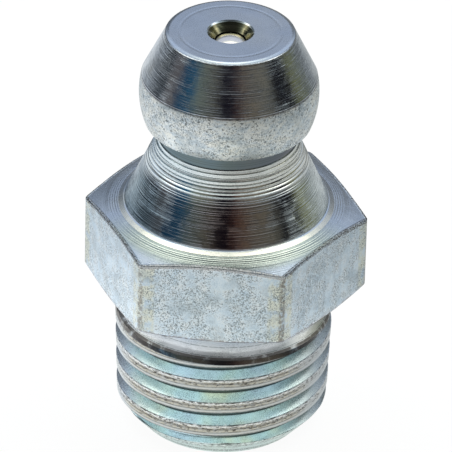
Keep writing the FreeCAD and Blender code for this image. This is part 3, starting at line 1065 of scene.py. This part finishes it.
def collar_ring(here):
    """Painted highlight and reflections on the crown in front: a cream land at the collar's foot, and pale
    and dark lines outside it.
    """
    r, to_front = here.r, here.to_front
    # Painted on the side facing the camera only: the land's highlight and the turned steps' reflections.
    front_ring_reflection = here.crown * (1 - r.rise(4.3, 4.8)) * to_front.rise(1.0, 3.0)
    lines = (r + here.grain * 0.006).lines(26.0, 1.0).rise(0.44, 0.60)
    outside = r.rise(RING_LAND, RING_LAND + 0.02)
    land = here.crown * (1 - r.rise(RING_LAND, RING_LAND + 0.015)) * to_front.rise(-1.0, 1.5)
    yield (0.60, 0.68, 0.60, 1), front_ring_reflection * 0.7
    yield (0.95, 1.0, 0.86, 1), front_ring_reflection * (1 - lines) * outside * 0.5
    yield (0.22, 0.27, 0.25, 1), front_ring_reflection * lines * outside * 0.85
    yield (0.97, 0.94, 0.82, 1), land * 0.8


def neck_and_inlet(here):
    """A dark lined band round the neck, painted shade under the head and duller plating in the recess, and
    olive lines in the inlet.
    """
    # Painted shade under the head, with a tint that runs from teal at the left to grey at the right.
    band = here.to_right.ramp([
        (0.28, 0.10, 0.17, 0.20), (0.5, 0.11, 0.15, 0.15), (0.72, 0.15, 0.15, 0.17),
    ])
    band = band.mix((0.05, 0.08, 0.07, 1), here.z.lines(22.0, 2.0).rise(0.50, 0.62) * 0.7)
    olive = here.feed.lines(9.0, 2.0).ramp([(0.40, 0.16, 0.15, 0.08), (0.60, 0.50, 0.46, 0.26)])
    yield band, here.neck * 0.9
    yield olive, here.inlet * 0.95


def drawn_flats(here):
    """A painted yellow highlight along the rounded corners, grey streaks shown on the right side only as
    painted shade, and brown where the plating is thin.
    """
    streaks = stretched(here.place, 5.5, 5.5, 0.6).noise(1.0, 3.0, 0.6).rise(0.50, 0.66)
    thin = here.flats * here.r.rise(*CORNER_EDGE) * here.grain.rise(0.42, 0.55)
    # Painted highlight: straw colour along the rounded corners, broken up by mottle.
    yield (0.84, 0.84, 0.68, 1), here.corner * here.mottle.rise(0.35, 0.55) * 0.7
    # Painted shade: the drawn streaks show only on the right side of the view.
    yield (0.44, 0.50, 0.56, 1), here.flats * streaks * here.to_right.rise(0.5, 0.8) * 0.35
    yield (0.30, 0.25, 0.20, 1), thin * 0.7


def cone_and_collar(here):
    """A bare cone, and a collar with painted reflections: near-white above with bluish to warm tints from
    left to right, and bands from blue to brown below with a white highlight at the far right.
    """
    # Painted reflections: the lower collar's colours change from left to right as seen from the camera.
    painted_reflections = here.to_right.ramp([
        (0.22, 0.20, 0.30, 0.37), (0.40, 0.36, 0.36, 0.38), (0.52, 0.44, 0.28, 0.23),
        (0.60, 0.44, 0.40, 0.38), (0.70, 0.44, 0.46, 0.47), (0.76, 0.92, 1.0, 1.0),
    ])
    # Near-white, with painted reflection tints from left to right.
    silver = here.to_right.ramp([
        (0.30, 0.88, 0.97, 1.0), (0.48, 0.97, 1.0, 0.96), (0.70, 1.0, 1.0, 0.93),
    ])
    yield (0.30, 0.26, 0.28, 1), here.cone_foot * here.grain.rise(0.36, 0.54) * 0.6
    yield (0.56, 0.60, 0.64, 1), here.cone * 0.6
    yield painted_reflections, here.lower_collar * 0.85
    yield silver, here.collar * here.z.rise(10.5, 11.0) * 0.95


def relief_and_land(here):
    """Clean metal in the relief, two tool lines in the run-out, and painted shade on the land below it,
    under the hexagon.
    """
    first, second = (here.z.band(*line) for line in RUNOUT_LINES)
    lines = here.relief * (first + second) * here.grain.rise(0.36, 0.5)
    yield (0.98, 0.99, 1.0, 1), here.relief * 0.95
    yield (0.22, 0.26, 0.26, 1), lines * 0.75
    # Painted shade: the land under the hexagon is coloured dark, broken up by mottle.
    yield (0.17, 0.145, 0.13, 1), here.land * here.mottle.rise(0.30, 0.50) * 0.85


def thread_flanks(here):
    """Flanks tinted blue-green by passivation; a painted lavender reflection at the sides, a darker band
    painted over the side sheen, and painted shade in grey at the far right.
    """
    flank = here.cloud.ramp([
        (0.36, 0.72, 0.86, 0.92), (0.52, 0.73, 0.90, 0.91), (0.68, 0.84, 0.91, 0.78),
    ])
    off_middle = abs(here.to_right - 0.5)
    # Painted reflection and shade: paler lavender at the sides, darker between front and sides, grey at the
    # far right.
    flank = flank.mix((0.84, 0.88, 0.95, 1), here.at_side * 0.8)
    flank = flank.mix((0.56, 0.70, 0.72, 1), off_middle.band(0.22, 0.32, 0.05) * 0.75)
    yield flank.mix((0.44, 0.49, 0.50, 1), here.far_right * 0.9), here.flank


def crest_lines_and_right_shade(here):
    """Pale and dark lines along the crests, painted shade on the crests at the far right, and the lead-in
    with its dark marks.
    """
    crest, tooth, z = here.crest, here.tooth, here.z
    waver = (here.around * 5.0).along(tooth * 30.0, z * 0.4).noise(1.0, 2.0, 0.6)
    rolled = (tooth + (here.grain - 0.5) * 0.05 + (waver - 0.5) * 0.07).ramp([
        (0.20, 0.08, 0.08, 0.07), (0.25, 0.30, 0.30, 0.29), (0.28, 0.66, 0.66, 0.62),
        (0.33, 0.50, 0.51, 0.48), (0.36, 0.10, 0.08, 0.07), (0.40, 0.66, 0.62, 0.50),
        (0.46, 0.42, 0.39, 0.32), (0.50, 0.09, 0.07, 0.05), (0.54, 0.56, 0.52, 0.42),
        (0.60, 0.92, 0.92, 0.90), (0.64, 0.30, 0.30, 0.28), (0.70, 0.16, 0.16, 0.16),
    ])
    lead_in = crest * (1 - z.rise(*LEAD_END))
    yield rolled, crest * (1 - here.at_side * 0.5) * (1 - lead_in) * 0.9
    # Painted shade: the crests are darker grey at the far right.
    yield (0.42, 0.44, 0.45, 1), crest * here.far_right * 0.6
    yield (0.56, 0.70, 0.66, 1), lead_in * 0.8
    yield (0.10, 0.13, 0.12, 1), lead_in * z.band(0.10, 0.26, 0.03) * here.fine.rise(0.42, 0.52) * 0.85


def crest_wear_and_painted_light(here):
    """Dark dashes on the crests, painted white glints on their upper edge in front, and painted shadow in
    the root.
    """
    crest, tooth = here.crest, here.tooth
    dash = (here.around * 26.0).along(tooth * 24.0, here.z * 0.4).noise(1.0, 3.0, 0.65)
    in_front = (1 - here.at_side * 0.6) * (1 - here.to_right.rise(0.62, 0.76) * 0.8)
    painted_glints = (1 - dash.rise(0.38, 0.44)) * tooth.rise(0.56, 0.61) * (1 - tooth.rise(0.68, 0.72))
    yield (0.52, 0.55, 0.57, 1), crest * here.grain.rise(0.46, 0.62) * 0.45
    yield (0.06, 0.055, 0.05, 1), crest * dash.rise(0.52, 0.60) * tooth.rise(0.33, 0.45) * 0.9
    # Painted highlight: white glints along the crests' upper edge, in front only.
    yield (1.0, 1.0, 1.0, 1), painted_glints * in_front * (crest + here.flank * 0.8)
    # Painted shadow: the groove's root is coloured near black.
    yield (0.03, 0.06, 0.05, 1), here.root * 0.9


def pits_and_specks(here):
    """Dark pits, specks on the head's widest zone, and smudges on it and on the flats."""
    zone, place, pits = here.zone, here.place, here.pits
    smudges = place.noise(0.9, 5.0, 0.75).rise(0.50, 0.62) * (here.flats + zone)
    yield (0.14, 0.17, 0.18, 1), pits.maths("MINIMUM", pits, 0.8)
    yield (0.24, 0.28, 0.29, 1), place.noise(9.0, 4.0, 0.7).rise(0.51, 0.60) * zone * 0.22
    yield (0.10, 0.11, 0.11, 1), place.noise(12.0, 2.0, 0.5).rise(0.60, 0.65) * zone * 0.85
    yield (0.40, 0.47, 0.50, 1), smudges * (zone * 0.1 + 0.35)


def worn_and_highlit_edges(here):
    """Edges where the plating is thin: brown and dotted, and a painted white highlight along the front top
    edge.
    """
    edge, fine, front = here.top_edge, here.fine, here.front_edge
    yield (0.11, 0.09, 0.08, 1), edge * fine.rise(0.46, 0.56) * (1 - front * 0.8) * 0.9
    # Painted highlight: the top edge facing the camera is coloured white.
    yield (1.0, 1.0, 1.0, 1), edge * front * (1 - fine.rise(0.5, 0.6))
    yield (0.30, 0.26, 0.24, 1), here.bottom_edge * here.grain.rise(0.42, 0.56) * 0.6
    yield (0.22, 0.18, 0.16, 1), here.rim * fine.rise(0.50, 0.58) * 0.6


LAYERS = [
    plating, collar_ring, neck_and_inlet, drawn_flats, cone_and_collar, relief_and_land,
    thread_flanks, crest_lines_and_right_shade, crest_wear_and_painted_light, pits_and_specks, worn_and_highlit_edges,
]
print("layers of tint:", len(LAYERS))

# %% [markdown]
# Roughness and a fine relief finish the plated steel: feed lines on turned faces, and grain
# on drawn ones. The ball and the spring's wire have plainer steels.

# %% The three steels
PLATED_RELIEF = 0.006
BALL_RELIEF = 0.0015
WIRE_RELIEF = 0.003


def new_steel(name):
    """An empty metal material and its shader."""
    material = bpy.data.materials.new(name)
    material.use_nodes = True
    tree = material.node_tree
    shader = tree.nodes["Principled BSDF"]
    shader.inputs["Metallic"].default_value = 1.0
    return material, tree, shader


def connect(tree, shader, colour, roughness, height, reach):
    """Connect what changes over the surface."""
    tree.links.new(colour.output, shader.inputs["Base Color"])
    tree.links.new(roughness.output, shader.inputs["Roughness"])
    inputs = {"Height": height, "Strength": 1.0, "Distance": reach * MM}
    tree.links.new(height.make("ShaderNodeBump", None, inputs).output, shader.inputs["Normal"])


def plated_roughness(here):
    """Turned faces are bright, and drawn, rolled and worn ones are duller."""
    rough = (here.flats + here.zone) * 0.20 + 0.16 + (here.disc + here.crown) * 0.12
    rough = rough + here.crest * 0.22 + here.flank * 0.12 + (here.grain - 0.5) * 0.12
    rough = rough + here.top_edge * 0.1 + here.top_edge * here.front_edge * 0.3
    return rough + here.relief * 0.2 + here.land * 0.08 + here.collar * here.z.rise(10.8, 11.2) * 0.10


def plated_height(here):
    """Feed lines and scratches on turned faces, grain on drawn ones, and rough crests."""
    turned = here.cone * 1.7 + here.collar * 1.2 + here.lower_collar + here.crown * 0.8
    turned = turned + here.disc * 0.12 + here.inlet * 2.0
    patchy = here.place.noise(1.7, 2.0).rise(0.38, 0.62) * 0.7 + 0.45
    scratches = (here.around * 1.6).along(here.feed * 20.0, 0.0).noise(1.0, 3.0, 0.65)
    speckled = here.flats + here.zone * 1.3 + here.crown * 0.08 + here.cone * 0.22
    height = here.feed.lines(16.0, 3.0) * turned * patchy
    height = height + here.feed.lines(4.5, 2.0) * here.cone * 0.9
    height = height + scratches * (here.cone * 0.8 + here.lower_collar * 0.5)
    height = height + here.grain * (here.flats + here.zone * 1.4) * 0.8
    height = height + here.fine * speckled * 0.35
    height = height + here.tooth.lines(30.0, 2.0) * here.crest * 1.2
    height = height + here.fine * here.crest + here.fine * here.top_edge * 6.0
    return height - here.pits * 0.3


def plated_steel():
    """Zinc over turned and drawn steel."""
    material, tree, shader = new_steel("zinc_plated_steel")
    here = Surface(tree)
    colour = here.cloud.ramp(CLOUDY)
    for layer in LAYERS:
        for tint, share in layer(here):
            colour = colour.mix(tint, share)
    connect(tree, shader, colour, plated_roughness(here), plated_height(here), PLATED_RELIEF)
    return material


def polished_steel():
    """The ball: hard, bright and a little mauve from what it mirrors."""
    material, tree, shader = new_steel("ball_steel")
    place = object_place(tree)[0]
    smear = place.noise(1.6, 3.0, 0.6)
    colour = smear.ramp([(0.35, 0.86, 0.81, 0.79), (0.65, 1.0, 0.96, 0.93)])
    connect(tree, shader, colour, smear * 0.12 + 0.10, place.noise(14.0, 2.0), BALL_RELIEF)
    return material


def drawn_wire():
    """The spring's wire, dull, with die lines along it."""
    material, tree, shader = new_steel("spring_steel")
    place, *_, r = object_place(tree)
    die_lines = r.lines(30.0, 2.0)
    colour = place.noise(3.0, 3.0).ramp([(0.3, 0.30, 0.29, 0.28), (0.7, 0.46, 0.45, 0.44)])
    connect(tree, shader, colour, die_lines * 0.15 + 0.32, die_lines, WIRE_RELIEF)
    return material


STEELS = [plated_steel(), polished_steel(), drawn_wire()]
print("shader nodes:", {steel.name: len(steel.node_tree.nodes) for steel in STEELS})

# %% [markdown]
# Each piece is scaled to metres, smoothed by angle, given its finish, and told which packed
# body it rides on, and the imported solid it replaces is hidden.

# %% Finishing the pieces
BODY_SMOOTH = math.radians(16)
ROUND_SMOOTH = math.radians(60)


def finish_piece(thing, material, carrier, node, smooth):
    """Scale, shade and attach one piece, and hide the imported solid it replaces."""
    take(thing)
    thing.scale = (MM, MM, MM)
    bpy.ops.object.transform_apply(location=True, rotation=True, scale=True)
    bpy.ops.object.shade_smooth_by_angle(angle=smooth)
    thing.data.materials.clear()
    thing.data.materials.append(material)
    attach(thing, carrier)
    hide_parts(node)
    triangles = sum(len(face.vertices) - 2 for face in thing.data.polygons)
    print(thing.name, triangles, "triangles,", open_edges(thing), "open edges")


finish_piece(body, STEELS[0], "fitting", "nipple_body", BODY_SMOOTH)
finish_piece(ball, STEELS[1], "ball", "check_ball", ROUND_SMOOTH)
finish_piece(spring, STEELS[2], "fitting", "valve_spring", ROUND_SMOOTH)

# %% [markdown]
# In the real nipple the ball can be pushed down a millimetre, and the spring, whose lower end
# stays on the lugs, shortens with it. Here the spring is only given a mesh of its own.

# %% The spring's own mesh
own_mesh(spring)
